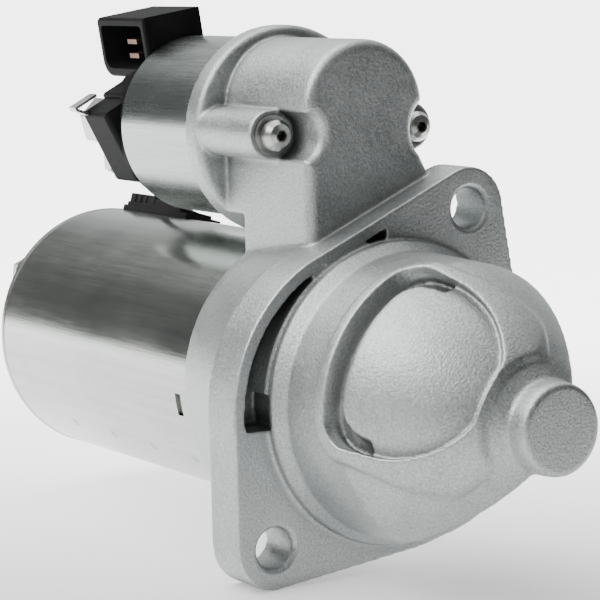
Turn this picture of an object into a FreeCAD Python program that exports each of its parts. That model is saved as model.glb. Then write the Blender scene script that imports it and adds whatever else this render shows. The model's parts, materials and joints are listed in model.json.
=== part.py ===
"""Starter motor with a planetary gear set, an overrunning clutch and a solenoid above the motor.

Millimetres. +X runs along the shaft towards the nose, +Z up to the solenoid. The origin lies on the
shaft axis in the plane of the mounting flange's front face. Angles in the YZ plane are measured from
+Y towards +Z.
"""

import FreeCAD, Part
import math
import os

Vector = FreeCAD.Vector
X_AXIS = Vector(1, 0, 0)
Y_AXIS = Vector(0, 1, 0)
Z_AXIS = Vector(0, 0, 1)

RUNNING = 0.05          # radial play of a shaft in its bearing
FACE_GAP = 0.3          # space between faces of parts that move past each other

# Motor tube, magnets and rear cap
TUBE_R = 38.0
TUBE_INNER_R = 34.5
TUBE_REAR_X = -163.0
TUBE_FRONT_X = -39.5
CAP_REAR_X = -165.5
MAGNET_INNER_R = 27.9
MAGNET_COUNT = 6
BOLT_CIRCLE_R = 31.4
THROUGH_BOLT_R = 2.4

# Armature
SHAFT_R = 5.0
CORE_R = 27.0
CORE_REAR_X = -128.0
CORE_FRONT_X = -74.0
COMMUTATOR_R = 14.0
SLOT_COUNT = 15
BRUSH_COUNT = 4
BRUSH_ANGLE = 8.0       # from +Z, so that the brushes stand clear of the through bolts

# Planetary gears
MODULE = 1.2
SUN_TEETH = 10
PLANET_TEETH = 17
RING_TEETH = 44
PLANET_COUNT = 3
PRESSURE_ANGLE = math.radians(20)
BACKLASH = 0.16
PLANET_REAR_X = -58.5
PLANET_FRONT_X = -49.5
PIN_R = 2.6
CARRIER_CENTRES = MODULE * (SUN_TEETH + PLANET_TEETH) / 2

# Output shaft, clutch and pinion
OUTPUT_R = 7.5
JOURNAL_R = 6.3
PINION_TEETH = 9
PINION_MODULE = 2.5
PINION_X = 18.0
PINION_LENGTH = 15.0
GROOVE_X = -24.5
GROOVE_WIDTH = 5.0
CLUTCH_R = 20.5

# Housing flange
MOUNT_AXIS = math.radians(143)      # direction from the shaft towards the middle of the bolt pair
MOUNT_OFFSET = 8.9
MOUNT_SPACING = 107.0
MOUNT_HOLE_R = 5.5
LUG_R = 11.2
FLANGE_T = 14.0
PILOT_R = 41.2
PILOT_LENGTH = 2.4
PILOT_NOSE_R = 39.0
PILOT_NOSE_X = 6.0
RING_R = 41.3
RING_REAR_X = -43.0
SHOULDER_X = -38.0
CAVITY_R = 34.0

# Nose
BELL_ANGLE = math.radians(147)      # the web faces this way and the pinion opening the other way
DOME_START = (30.0, 38.0)
DOME_MIDDLE = (50.0, 27.6)
DOME_END = (65.5, 12.0)
BOSS_R = 11.8
BOSS_X = 72.0
OPENING_REAR_X = 12.0
OPENING_FRONT_X = 70.0
OPENING_DEPTH = 3.0                 # the opening is cut this far below the shaft axis

# Web of the nose: a shield-shaped pocket with a deeper groove along its rear edge
WEB_REAR_X = 24.5
WEB_SHOULDER_X = 40.5
WEB_TIP_X = 60.3
WEB_HALF = 24.5
WEB_TIP_HALF = 8.5
POCKET_DEPTH = 1.6
GROOVE_DEPTH = 4.2

# Lever housing and solenoid
SOLENOID_Z = 68.3
LEVER_BOX_LEFT_Y = -20.7
LEVER_BOX_RIGHT_Y = 17.2
LEVER_BOX_WIDE_Y = 20.7             # right side below the screw
LEVER_BOX_SHOULDER_Z = 75.7
LEVER_BOX_FRONT_X = -9.0
CHAMBER_HALF = 10.5
DISC_R = 29.7
DISC_REAR_X = -59.0
DISC_FRONT_X = -51.5
SCREW_Y = 22.8
SCREW_Z = 69.5
SCREW_BOSS_R = 6.8
SCREW_BITE_R = {-1: 6.8, 1: 9.5}    # room for the tool in front of each screw
SCREW_SEAT_X = -24.0
CAN_R = 26.1
CAN_REAR_X = -103.5
PLUNGER_R = 10.9

# Shift lever
PIVOT_X = -21.0
PIVOT_Z = 44.0
PIVOT_R = 3.0
LEVER_TIP_X = -17.7

# Solenoid cap: the terminal block is turned about the solenoid axis
BLOCK_TILT = 27.5
BLOCK_REAR_X = -122.0
BATTERY_STUD = (-15.9, 8.6)
BATTERY_STUD_R = 4.0
MOTOR_STUD = (-17.6, -4.1)
MOTOR_STUD_R = 2.5
HOOD_TILT = 8.7
HOOD_BOTTOM_Z = 83.4
HOOD_TOP_Z = 101.5
BLADE_Z = (89.4, 93.7)

# Lead from the solenoid to the motor, and the boot it passes through
LEAD_R = 1.8
LEAD_X = -148.5
LEAD_Y = 12.5
LEAD_TURN = -17.0                   # the boot lies this far round the tube from the top


# ---------------------------------------------------------------- helpers

def cylinder(x0, x1, radius, y=0.0, z=0.0):
    return Part.makeCylinder(radius, x1 - x0, Vector(x0, y, z), X_AXIS)


def tube(x0, x1, outer, inner, y=0.0, z=0.0):
    return cylinder(x0, x1, outer, y, z).cut(cylinder(x0 - 1, x1 + 1, inner, y, z))


def cylinder_y(y0, y1, radius, x, z):
    return Part.makeCylinder(radius, y1 - y0, Vector(x, y0, z), Y_AXIS)


def box(x0, x1, y0, y1, z0, z1):
    return Part.makeBox(x1 - x0, y1 - y0, z1 - z0, Vector(x0, y0, z0))


def polygon(points):
    return Part.makePolygon([Vector(*p) for p in points + points[:1]])


def plate_yz(x0, x1, points):
    face = Part.Face(polygon([(x0, y, z) for y, z in points]))
    return face.extrude(Vector(x1 - x0, 0, 0))


def plate_xz(y0, y1, points):
    face = Part.Face(polygon([(x, y0, z) for x, z in points]))
    return face.extrude(Vector(0, y1 - y0, 0))


def turned(points, y=0.0, z=0.0):
    """Solid of revolution of an (x, radius) outline about the X direction through (y, z)."""
    face = Part.Face(polygon([(px, y, z + r) for px, r in points]))
    return face.revolve(Vector(0, y, z), X_AXIS, 360)


def polar(radius, angle):
    return radius * math.cos(angle), radius * math.sin(angle)


def turn_x(shape, degrees, y=0.0, z=0.0):
    copy = shape.copy()
    copy.rotate(Vector(0, y, z), X_AXIS, degrees)
    return copy


def around(shape, count, start=0.0):
    return [turn_x(shape, start + 360.0 * i / count) for i in range(count)]


def join(shapes):
    result = shapes[0]
    for shape in shapes[1:]:
        result = result.fuse(shape)
    return result.removeSplitter()


def cut_all(shape, tools):
    for tool in tools:
        shape = shape.cut(tool)
    return shape


def hexagon(x0, x1, across_flats, y, z, phase=0.0):
    radius = across_flats / math.sqrt(3)
    corners = [polar(radius, phase + math.pi * i / 3) for i in range(6)]
    return plate_yz(x0, x1, [(y + a, z + b) for a, b in corners])


def round_edges(shape, radius, chosen):
    """Fillet the edges for which chosen(edge) is true."""
    edges = [edge for edge in shape.Edges if chosen(edge)]
    return shape.makeFillet(radius, edges) if edges else shape


def edge_at_x(x):
    return lambda edge: abs(edge.BoundBox.XMin - x) < 0.01 and abs(edge.BoundBox.XMax - x) < 0.01


def helix_spring(radius, wire_r, length, turns):
    """Open coil along +Z from the origin, its wire swept along a smooth curve through points of a helix."""
    per_turn = 8
    count = round(turns * per_turn)
    points = []
    for i in range(count + 1):
        y, z = polar(radius, 2 * math.pi * i / per_turn)
        points.append(Vector(y, z, length * i / count))
    curve = Part.BSplineCurve()
    curve.interpolate(points)
    section = Part.makeCircle(wire_r, points[0], curve.tangent(curve.FirstParameter)[0])
    return Part.Wire(curve.toShape()).makePipeShell([Part.Wire(section)], True, False)


# ---------------------------------------------------------------- gears

def involute(angle):
    return math.tan(angle) - angle


def gear_outline(teeth, module, tip_r, root_r, thinning, phase):
    """Involute spur gear outline in (y, z), with radial flanks below the base circle."""
    pitch_r = module * teeth / 2
    base_r = pitch_r * math.cos(PRESSURE_ANGLE)
    half = math.pi / (2 * teeth) - thinning / (2 * pitch_r) + involute(PRESSURE_ANGLE)
    start_r = max(root_r, base_r)
    flank = []
    if root_r < base_r:
        flank.append((root_r, half))
    steps = 5
    for i in range(steps + 1):
        r = start_r + (tip_r - start_r) * i / steps
        flank.append((r, half - involute(math.acos(min(1.0, base_r / r)))))
    outline = []
    for tooth in range(teeth):
        centre = phase + 2 * math.pi * tooth / teeth
        outline += [polar(r, centre - a) for r, a in flank]
        outline += [polar(r, centre + a) for r, a in reversed(flank)]
    return outline


def spur_gear(x0, x1, teeth, module, phase=0.0, y=0.0, z=0.0, addendum=0.85):
    pitch_r = module * teeth / 2
    outline = gear_outline(teeth, module, pitch_r + addendum * module, pitch_r - 1.15 * module,
                           BACKLASH, phase)
    return plate_yz(x0, x1, [(y + a, z + b) for a, b in outline])


def planet_angle(index):
    return math.radians(90 + 120 * index)


def planet_phase(index):
    """Planet rotation that puts a planet tooth space on a sun tooth along the line of centres."""
    angle = planet_angle(index)
    return (SUN_TEETH * angle - math.pi) / PLANET_TEETH + angle + math.pi


def ring_phase():
    angle = planet_angle(0)
    return angle - PLANET_TEETH * (angle - planet_phase(0)) / RING_TEETH


# ---------------------------------------------------------------- drive end housing

def mount_hole_centres():
    ay, az = math.cos(MOUNT_AXIS), math.sin(MOUNT_AXIS)
    centres = []
    for side in (1, -1):
        reach = side * MOUNT_SPACING / 2
        centres.append((MOUNT_OFFSET * ay + reach * az, MOUNT_OFFSET * az - reach * ay))
    return centres


def arc(a, b, c):
    return Part.Arc(Vector(*a), Vector(*b), Vector(*c)).toShape()


def line(a, b):
    return Part.LineSegment(Vector(*a), Vector(*b)).toShape()


def flange_outline(grow=0.0):
    """Closed YZ outline of the flange at X = 0, moved out by grow."""
    (y1, z1), (y2, z2) = mount_hole_centres()
    r = LUG_R + grow
    edge_r = 44.0 + grow
    top = math.radians(113.3)
    side = math.radians(9.9)
    low = math.radians(-83.6)

    def on_lug(y, z, angle):
        return 0, y + r * math.cos(angle), z + r * math.sin(angle)

    def on_edge(angle):
        return 0, edge_r * math.cos(angle), edge_r * math.sin(angle)

    left_y = y2 - r
    shoulder = (0, -44.5 - 0.85 * grow, 21.0 + 0.5 * grow)
    corner = (0, -27.0 - 0.5 * grow, 37.4 + 0.9 * grow)
    elbow = (0, left_y, -8.0)
    return Part.Wire([
        line(corner, on_lug(y1, z1, top)),
        arc(on_lug(y1, z1, top), on_lug(y1, z1, (top + side) / 2), on_lug(y1, z1, side)),
        line(on_lug(y1, z1, side), on_edge(side)),
        arc(on_edge(side), on_edge((side + low) / 2), on_edge(low)),
        line(on_edge(low), on_lug(y2, z2, low)),
        arc(on_lug(y2, z2, low), on_lug(y2, z2, math.radians(-132)), on_lug(y2, z2, -math.pi)),
        line(on_lug(y2, z2, -math.pi), elbow),
        arc(elbow, shoulder, corner),
    ])


def flange_prism(x0, x1, grow=0.0):
    wire = flange_outline(grow)
    wire.translate(Vector(x0, 0, 0))
    return Part.Face(wire).extrude(Vector(x1 - x0, 0, 0))


def dome(offset, front_x, base_r):
    """Bell-shaped solid, offset from the outer surface, closed at front_x."""
    sx, sr = DOME_START
    mx, mr = DOME_MIDDLE
    ex, er = DOME_END
    lean = 0.7 * offset
    start = (sx + 0.2 * offset, 0, sr + offset)
    middle = (mx + lean, 0, mr + lean)
    end = (ex + lean, 0, er + lean)
    tip = (front_x, 0, er + lean)
    edges = [
        line((-1, 0, 0), (-1, 0, base_r + offset)),
        line((-1, 0, base_r + offset), start),
        arc(start, middle, end),
        line(end, tip),
        line(tip, (front_x, 0, 0)),
        line((front_x, 0, 0), (-1, 0, 0)),
    ]
    return Part.Face(Part.Wire(edges)).revolve(Vector(0, 0, 0), X_AXIS, 360)


def web_outline(rear, half, tip, tip_half, z):
    """Shield-shaped wire at height z, pointing along +X."""
    corner = 7.0

    def half_outline(side):
        middle = (WEB_SHOULDER_X + 0.68 * (tip - WEB_SHOULDER_X), side * (tip_half + 0.63 * (half - tip_half)), z)
        return [
            arc((rear, side * (half - corner), z),
                (rear + 0.29 * corner, side * (half - 0.29 * corner), z),
                (rear + corner, side * half, z)),
            line((rear + corner, side * half, z), (WEB_SHOULDER_X, side * half, z)),
            arc((WEB_SHOULDER_X, side * half, z), middle, (tip, side * tip_half, z)),
        ]

    edges = half_outline(1) + half_outline(-1)
    edges.append(line((rear, half - corner, z), (rear, corner - half, z)))
    edges.append(line((tip, tip_half, z), (tip, -tip_half, z)))
    return Part.Wire(Part.__sortEdges__(edges))


def web_prism(grow, low_z, high_z, tip_grow=0.0):
    """Straight prism of the shield, moved out by grow."""
    wire = web_outline(WEB_REAR_X - grow, WEB_HALF + grow, WEB_TIP_X + 0.5 * grow,
                       WEB_TIP_HALF + 0.6 * grow + tip_grow, low_z)
    return Part.Face(wire).extrude(Vector(0, 0, high_z - low_z))


def web_funnel(low_z, high_z):
    """The shield with side and tip walls that open outwards, nominal where they meet the surface."""
    wires = []
    for z in (low_z, high_z):
        wires.append(web_outline(WEB_REAR_X, WEB_HALF + 0.25 * (z - 24), WEB_TIP_X + 0.8 * (z - 17),
                                 WEB_TIP_HALF + 0.3 * (z - 17), z))
    return Part.makeLoft(wires, True, True)


def to_web(shape):
    """Turn a shape drawn over +Z to the side of the nose where the web is."""
    return turn_x(shape, math.degrees(BELL_ANGLE) - 90)


def bell_outside():
    shell = dome(0.0, BOSS_X - 2, PILOT_NOSE_R)
    boss = cylinder(30, BOSS_X, BOSS_R)
    boss = round_edges(boss, 1.0, edge_at_x(BOSS_X))
    pilot = turned([(-1, 0), (-1, PILOT_R), (PILOT_LENGTH, PILOT_R),
                    (PILOT_NOSE_X, PILOT_NOSE_R), (PILOT_NOSE_X + 1, 38.4), (PILOT_NOSE_X + 1, 0)])
    rim = to_web(web_prism(4.2, 6, 60, 4.0)).common(dome(1.6, BOSS_X - 2, PILOT_NOSE_R))
    pocket = to_web(web_funnel(4, 60)).cut(dome(-POCKET_DEPTH, BOSS_X - 2, PILOT_NOSE_R))
    groove = web_prism(0.0, 2, 60).cut(web_prism(-3.2, 1, 61)).common(box(20, 37, -40, 40, 0, 70))
    groove = to_web(groove).cut(dome(-GROOVE_DEPTH, BOSS_X - 2, PILOT_NOSE_R))
    return shell.fuse(rim).cut(pocket).cut(groove).fuse(boss).fuse(pilot)


def bell_inside():
    """Clutch and pinion space, nose bush seat and the opening for the engine's ring gear."""
    tube_x = DISC_REAR_X - 1
    space = Part.Face(Part.Wire([
        line((tube_x, 0, 0), (tube_x, 0, TUBE_R + RUNNING)),
        line((tube_x, 0, TUBE_R + RUNNING), (SHOULDER_X, 0, TUBE_R + RUNNING)),
        line((SHOULDER_X, 0, TUBE_R + RUNNING), (SHOULDER_X, 0, CAVITY_R)),
        line((SHOULDER_X, 0, CAVITY_R), (8, 0, CAVITY_R)),
        line((8, 0, CAVITY_R), (24, 0, 31.0)),
        arc((24, 0, 31.0), (42, 0, 23.5), (53.5, 0, 12.5)),
        line((53.5, 0, 12.5), (53.5, 0, 8.6)),
        line((53.5, 0, 8.6), (69, 0, 8.6)),
        line((69, 0, 8.6), (69, 0, 0)),
        line((69, 0, 0), (tube_x, 0, 0)),
    ])).revolve(Vector(0, 0, 0), X_AXIS, 360)
    opening = box(OPENING_REAR_X, OPENING_FRONT_X, -60, 60, -70, -OPENING_DEPTH)
    opening = turn_x(opening, math.degrees(BELL_ANGLE) - 90)
    opening = opening.cut(cylinder(45, 75, BOSS_R))
    return space.fuse(opening)


def lever_box():
    """Housing of the shift lever, with the round flange for the solenoid and two screw bosses."""
    rear_x = DISC_FRONT_X - 1
    left, right = LEVER_BOX_LEFT_Y, LEVER_BOX_RIGHT_Y
    shoulder = LEVER_BOX_SHOULDER_Z
    crown = shoulder + (right - left) / 2
    section = Part.Wire([
        line((rear_x, left, 30), (rear_x, left, shoulder)),
        arc((rear_x, left, shoulder), (rear_x, (left + right) / 2, crown), (rear_x, right, shoulder)),
        line((rear_x, right, shoulder), (rear_x, right - 1.6, 63.8)),
        line((rear_x, right - 1.6, 63.8), (rear_x, LEVER_BOX_WIDE_Y, 54.0)),
        line((rear_x, LEVER_BOX_WIDE_Y, 54.0), (rear_x, LEVER_BOX_WIDE_Y, 30)),
        line((rear_x, LEVER_BOX_WIDE_Y, 30), (rear_x, left, 30)),
    ])
    body = Part.Face(section).extrude(Vector(LEVER_BOX_FRONT_X - rear_x, 0, 0))
    body = cut_all(body, [cylinder(SCREW_SEAT_X, 0, SCREW_BITE_R[side], side * SCREW_Y, SCREW_Z)
                          for side in (1, -1)])
    front = edge_at_x(LEVER_BOX_FRONT_X)
    body = round_edges(body, 2.8, lambda edge: front(edge) and edge.BoundBox.ZMax > 31)
    undercut = box(rear_x - 1, RING_REAR_X, -40, 40, 20, SOLENOID_Z)
    body = body.cut(undercut.cut(cylinder(rear_x - 2, RING_REAR_X + 1, DISC_R, 0, SOLENOID_Z)))
    disc = cylinder(DISC_REAR_X, DISC_FRONT_X, DISC_R, 0, SOLENOID_Z)
    disc = disc.makeFillet(2.2, [e for e in disc.Edges if edge_at_x(DISC_FRONT_X)(e)])
    bosses = [cylinder(rear_x, SCREW_SEAT_X, SCREW_BOSS_R, side * SCREW_Y, SCREW_Z) for side in (1, -1)]
    return join([body, disc] + bosses)


def lever_space():
    """Room for the lever, the plunger, the pivot pin and the two solenoid screws."""
    wall_x = LEVER_BOX_FRONT_X - 4
    chamber = box(-31, wall_x, -CHAMBER_HALF, CHAMBER_HALF, 20, LEVER_BOX_SHOULDER_Z)
    chamber = chamber.fuse(cylinder(-31, wall_x, CHAMBER_HALF, 0, LEVER_BOX_SHOULDER_Z))
    tools = [
        chamber,
        cylinder(DISC_REAR_X - 1, -30, 15.0, 0, SOLENOID_Z),
        cylinder_y(-19, 19, PIVOT_R + RUNNING, PIVOT_X, PIVOT_Z),
    ]
    for side in (1, -1):
        tools.append(cylinder(DISC_REAR_X - 1, SCREW_SEAT_X + 1, 2.6, side * SCREW_Y, SCREW_Z))
    return tools


def face_relief():
    """Crescent cut into the flange face between the pilot and the outer wall."""
    relief = flange_prism(-9.0, 1.0, -3.4)
    relief = relief.common(box(-10, 2, -60, -2, -5.5, 60))
    relief = relief.cut(cylinder(-10, 2, PILOT_R + 0.6))
    notch = box(-12, 1, -46.0, -30, -5.5, 4.0).cut(cylinder(-13, 2, 37.6))
    return relief.fuse(notch)


def drive_end_housing():
    ring = Part.makeCircle(RING_R, Vector(RING_REAR_X, 0, 0), X_AXIS)
    wide = Part.makeCircle(44.1, Vector(-FLANGE_T + 0.5, -6.7, -1.8), X_AXIS)
    skirt = Part.makeLoft([Part.Wire(ring), Part.Wire(wide)], True, True)
    flange = flange_prism(-FLANGE_T, 0)
    shell = skirt.fuse(flange).fuse(cylinder(RING_REAR_X, 0, 38.6))
    shell = shell.fuse(lever_box()).fuse(bell_outside())
    shell = shell.cut(face_relief())
    shell = shell.cut(bell_inside())
    shell = cut_all(shell, lever_space())
    for angle in (MOUNT_AXIS, MOUNT_AXIS + math.pi):
        y, z = polar(BOLT_CIRCLE_R, angle)
        shell = shell.fuse(cylinder(SHOULDER_X, -29, 5.5, y, z).common(cylinder(-39, -28, 36)))
        shell = shell.cut(cylinder(SHOULDER_X - 6, -30, THROUGH_BOLT_R, y, z))
    for y, z in mount_hole_centres():
        hole = turned([(-FLANGE_T - 1, 0), (-FLANGE_T - 1, MOUNT_HOLE_R), (-1, MOUNT_HOLE_R),
                       (1, MOUNT_HOLE_R + 2), (1, 0)], y, z)
        shell = shell.cut(hole)
    return shell.removeSplitter()


# ---------------------------------------------------------------- motor

def motor_frame():
    frame = tube(TUBE_REAR_X, TUBE_FRONT_X, TUBE_R, TUBE_INNER_R)
    lead_slot = box(LEAD_X - 8.5, LEAD_X + 6.0, -5.2, 5.8, 30, 40)
    frame = frame.cut(turn_x(lead_slot, LEAD_TURN))
    for i in range(4):
        y, z = polar(TUBE_R + 2.4, math.radians(218.3))
        frame = frame.cut(Part.makeSphere(3.0, Vector(-131.0 + 24.5 * i, y, z)))
    key_slot = box(-54.5, -51.5, TUBE_R - 1.0, TUBE_R + 2, -3.2, 3.2)
    return frame.cut(turn_x(key_slot, 189.7))


def rear_end_cap():
    cap = turned([(CAP_REAR_X, 11.5), (CAP_REAR_X, 37.4), (-164.7, 38.2), (-163.5, 38.2),
                  (TUBE_REAR_X, 37.6), (TUBE_REAR_X, TUBE_INNER_R - RUNNING), (-160.5, TUBE_INNER_R - RUNNING),
                  (-160.5, 32.2), (TUBE_REAR_X, 32.2), (TUBE_REAR_X, 12.0), (-161.0, 12.0), (-161.0, 8.0),
                  (-170.5, 8.0), (-170.5, 0), (-172.5, 0), (-172.5, 9.5), (-171.5, 11.0), (-166.5, 11.5)])
    for angle in (MOUNT_AXIS, MOUNT_AXIS + math.pi):
        y, z = polar(BOLT_CIRCLE_R, angle)
        cap = cap.cut(cylinder(-170, -159, THROUGH_BOLT_R + 0.3, y, z))
    return cap


def through_bolts():
    bolts = []
    for angle in (MOUNT_AXIS, MOUNT_AXIS + math.pi):
        y, z = polar(BOLT_CIRCLE_R, angle)
        bolt = cylinder(CAP_REAR_X - 3, -31, THROUGH_BOLT_R, y, z)
        flange = cylinder(CAP_REAR_X - 1.6, CAP_REAR_X, 6.2, y, z)
        head = hexagon(CAP_REAR_X - 8.0, CAP_REAR_X - 1, 8.0, y, z, angle)
        bolts.append(join([bolt, flange, head]))
    return bolts


def permanent_magnets():
    arc_width = 46.0
    magnet = tube(-132, -70, TUBE_INNER_R, MAGNET_INNER_R)
    wedge = Part.makeCylinder(60, 70, Vector(-135, 0, 0), X_AXIS, arc_width)
    first = magnet.common(wedge)
    start = math.degrees(MOUNT_AXIS) + 30 - arc_width / 2 - first_angle(wedge, arc_width)
    return around(first, MAGNET_COUNT, start)


def first_angle(wedge, width):
    """Angle in the YZ plane at which a wedge of the given width begins."""
    centre = wedge.CenterOfMass
    return math.degrees(math.atan2(centre.z, centre.y)) - width / 2


def brush_box(slack, x0, x1, r0, r1):
    half = 4.0 + slack
    return box(x0, x1, -half, half, r0, r1)


def brush_holder():
    plate = tube(-160.0, -157.5, TUBE_INNER_R - 0.1, 16.0)
    outer = brush_box(1.4, -158.0, -144.8, 16.0, 31.5)
    inner = brush_box(0.1, -157.5, -146.4, 15.0, 30.3)
    parts = [plate] + around(outer, BRUSH_COUNT, BRUSH_ANGLE)
    holder = join(parts)
    holder = cut_all(holder, around(inner, BRUSH_COUNT, BRUSH_ANGLE))
    for angle in (MOUNT_AXIS, MOUNT_AXIS + math.pi):
        y, z = polar(BOLT_CIRCLE_R, angle)
        holder = holder.cut(cylinder(-161, -140, THROUGH_BOLT_R + 0.3, y, z))
    return holder


def brushes():
    brush = brush_box(0.0, -157.3, -146.6, COMMUTATOR_R + 0.1, 24.0)
    brush = brush.cut(cylinder(-160, -140, COMMUTATOR_R + 0.1))
    return around(brush, BRUSH_COUNT, BRUSH_ANGLE)


def brush_springs():
    coil = helix_spring(3.2, 0.45, 5.0, 4.5)
    coil.translate(Vector(-152, 0, 24.7))
    return around(coil, BRUSH_COUNT, BRUSH_ANGLE)


def armature_shaft():
    shaft = turned([(-169.5, 0), (-169.5, 4.4), (-169.0, SHAFT_R), (-59.5, SHAFT_R), (-59.5, 4.0),
                    (-39.0, 4.0), (-38.5, 3.5), (-38.5, 0)])
    return shaft


def armature_core():
    core = tube(CORE_REAR_X, CORE_FRONT_X, CORE_R, SHAFT_R)
    slot = box(CORE_REAR_X - 1, CORE_FRONT_X + 1, -1.6, 1.6, 17.5, 25.6)
    mouth = box(CORE_REAR_X - 1, CORE_FRONT_X + 1, -0.8, 0.8, 25.0, CORE_R + 1)
    return cut_all(core, around(slot.fuse(mouth), SLOT_COUNT))


def armature_windings():
    rear = turned([(-141, 12), (-141, 20), (-137, 25), (CORE_REAR_X, 26), (CORE_REAR_X, 12)])
    front = turned([(CORE_FRONT_X, 12), (CORE_FRONT_X, 26), (-68, 25), (-65, 21), (-65, 12)])
    bar = box(CORE_REAR_X - 0.5, CORE_FRONT_X + 0.5, -1.5, 1.5, 17.6, 25.5)
    return join([rear, front] + around(bar, SLOT_COUNT))


def commutator():
    body = tube(-157, -142, COMMUTATOR_R, SHAFT_R)
    gap = box(-158, -143.5, -0.25, 0.25, COMMUTATOR_R - 1.4, COMMUTATOR_R + 1)
    return cut_all(body, around(gap, SLOT_COUNT, 12))


# ---------------------------------------------------------------- gear set and output

def sun_gear():
    gear = spur_gear(-59.3, -48.8, SUN_TEETH, MODULE)
    return gear.cut(cylinder(-60, -48, 4.0))


def ring_gear():
    pitch_r = MODULE * RING_TEETH / 2
    outline = gear_outline(RING_TEETH, MODULE, pitch_r + 1.15 * MODULE, pitch_r - 0.85 * MODULE,
                           -BACKLASH, ring_phase())
    ring = cylinder(-60.4, -45.5, TUBE_INNER_R - RUNNING)
    ring = ring.cut(plate_yz(-61, -45, outline))
    for angle in (MOUNT_AXIS, MOUNT_AXIS + math.pi):
        y, z = polar(BOLT_CIRCLE_R, angle)
        ring = ring.cut(cylinder(-61, -45, THROUGH_BOLT_R + 0.2, y, z))
    return ring


def planet_gear(index):
    y, z = polar(CARRIER_CENTRES, planet_angle(index))
    gear = spur_gear(PLANET_REAR_X, PLANET_FRONT_X, PLANET_TEETH, MODULE, planet_phase(index), y, z)
    return gear.cut(cylinder(-60, -48, PIN_R + RUNNING, y, z))


def planet_pins():
    pins = []
    for index in range(PLANET_COUNT):
        y, z = polar(CARRIER_CENTRES, planet_angle(index))
        pins.append(cylinder(-59.3, -43.5, PIN_R, y, z))
    return pins


def gear_partition():
    plate = tube(-62.2, -60.5, TUBE_INNER_R - RUNNING, 8.0)
    for angle in (MOUNT_AXIS, MOUNT_AXIS + math.pi):
        y, z = polar(BOLT_CIRCLE_R, angle)
        plate = plate.cut(cylinder(-63, -60, THROUGH_BOLT_R + 0.3, y, z))
    return plate


def centre_plate():
    plate = turned([(-42.6, 10.0), (-42.6, TUBE_INNER_R - RUNNING), (TUBE_FRONT_X, TUBE_INNER_R - RUNNING),
                    (TUBE_FRONT_X, TUBE_R - 0.1), (SHOULDER_X, TUBE_R - 0.1), (SHOULDER_X, 15.0),
                    (-34.0, 14.0), (-34.0, 10.0)])
    for angle in (MOUNT_AXIS, MOUNT_AXIS + math.pi):
        y, z = polar(BOLT_CIRCLE_R, angle)
        plate = plate.cut(cylinder(-44, -36, THROUGH_BOLT_R + 0.3, y, z))
    return plate


def output_shaft():
    shaft = turned([(-48.5, 4.0 + RUNNING), (-48.5, 22.0), (-43.5, 22.0), (-43.5, OUTPUT_R), (52.5, OUTPUT_R),
                    (53.3, JOURNAL_R), (67.0, JOURNAL_R), (68.0, 5.4), (68.0, 0), (-38.0, 0),
                    (-38.0, 4.0 + RUNNING)])
    for index in range(PLANET_COUNT):
        y, z = polar(CARRIER_CENTRES, planet_angle(index))
        shaft = shaft.cut(cylinder(-50, -43, PIN_R, y, z))
    return shaft


def clutch_body():
    half = GROOVE_WIDTH / 2
    rear = GROOVE_X - half
    front = GROOVE_X + half
    return turned([(rear - 1.5, OUTPUT_R + RUNNING), (rear - 1.5, 16.5), (rear, 16.5), (rear, 12.0),
                   (front, 12.0), (front, 16.5), (front + 1.5, 16.5), (front + 1.5, 14.0), (-17.0, 14.0),
                   (-17.0, 19.5), (-16.0, CLUTCH_R), (2.5, CLUTCH_R), (2.5, 18.4), (-14.0, 18.4),
                   (-14.0, OUTPUT_R + RUNNING)])


def clutch_cover():
    return tube(2.5, 4.5, CLUTCH_R, 12.0)


def clutch_rollers():
    roller = cylinder(-12.5, 1.0, 2.6, 15.7, 0)
    return around(roller, 6)


def pinion():
    x0, x1 = PINION_X, PINION_X + PINION_LENGTH
    pitch_r = PINION_MODULE * PINION_TEETH / 2
    outline = gear_outline(PINION_TEETH, PINION_MODULE, pitch_r + PINION_MODULE * 0.95,
                           pitch_r - PINION_MODULE * 1.05, 0.3, 0.0)
    teeth = plate_yz(x0 - 2, x1, outline)
    blank = turned([(x0 - 2, 0), (x0 - 2, 11.4), (x0 + 1, 14.0), (x1 - 1.5, 14.0), (x1, 12.2), (x1, 0)])
    neck = turned([(-13.5, 0), (-13.5, 12.8), (2.2, 12.8), (2.2, 11.6), (x0, 11.6), (x0, 0)])
    return teeth.common(blank).fuse(neck).cut(cylinder(-20, 60, OUTPUT_R + RUNNING)).removeSplitter()


def stop_collar():
    return turned([(46.5, OUTPUT_R), (46.5, 10.6), (49.5, 10.6), (50.5, 9.6), (50.5, OUTPUT_R)])


# ---------------------------------------------------------------- shift lever and plunger

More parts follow.
